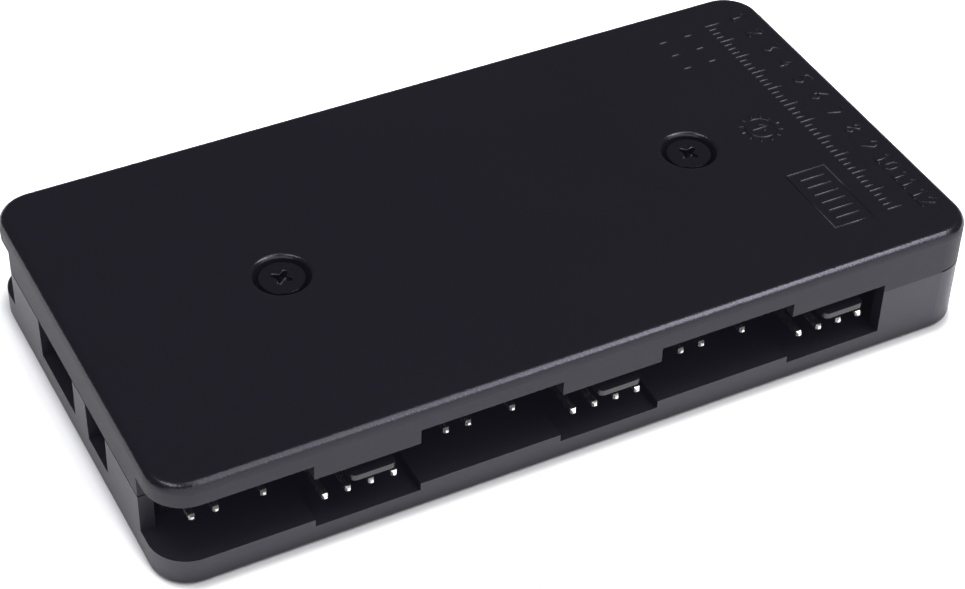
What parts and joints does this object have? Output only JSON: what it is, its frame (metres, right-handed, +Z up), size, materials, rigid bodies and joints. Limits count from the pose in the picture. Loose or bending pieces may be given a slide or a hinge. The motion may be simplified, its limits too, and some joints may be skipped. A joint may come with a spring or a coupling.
{
  "type": "fan splitter",
  "caption": "Flat black hub with fan and lighting ports along both long sides, two input openings in one end, and a lid held by recessed screws.",
  "frame": {"origin": "middle of the underside", "axes": "+X along the ports, from the corner cut-outs to the solid end; +Y from the front ports to the back ports; +Z up through the lid"},
  "size_m": [0.0954, 0.05, 0.0135],
  "materials": {
    "case_plastic": "black moulded plastic with a fine matt texture",
    "header_plastic": "dark grey moulded plastic, plain and slightly satin",
    "socket_plastic": "black moulded plastic, plain",
    "contact_metal": "bright tin plate over brass",
    "solder_mask": "black solder mask over a glass-filled board",
    "capacitor_can": "drawn can with a clear sleeve",
    "screw_black": "black glossy plating on steel"
  },
  "bodies": {
    "root": {"base": "case_plastic", "lid": "case_plastic", "circuit_board": "solder_mask", "fan_header_front_1": "header_plastic", "fan_header_front_2": "header_plastic", "fan_header_front_3": "header_plastic", "fan_header_back_1": "header_plastic", "fan_header_back_2": "header_plastic", "fan_header_back_3": "header_plastic", "fan_pins_front_1": "contact_metal", "fan_pins_front_2": "contact_metal", "fan_pins_front_3": "contact_metal", "fan_pins_back_1": "contact_metal", "fan_pins_back_2": "contact_metal", "fan_pins_back_3": "contact_metal", "lighting_header_front_1": "header_plastic", "lighting_header_front_2": "header_plastic", "lighting_header_front_3": "header_plastic", "lighting_header_back_1": "header_plastic", "lighting_header_back_2": "header_plastic", "lighting_header_back_3": "header_plastic", "lighting_pins_front_1": "contact_metal", "lighting_pins_front_2": "contact_metal", "lighting_pins_front_3": "contact_metal", "lighting_pins_back_1": "contact_metal", "lighting_pins_back_2": "contact_metal", "lighting_pins_back_3": "contact_metal", "main_input_socket": "socket_plastic", "main_input_pins": "contact_metal", "control_input_socket": "socket_plastic", "control_input_pins": "contact_metal", "smoothing_capacitors": "capacitor_can", "lid_screws": "screw_black"}
  },
  "joints": []
}
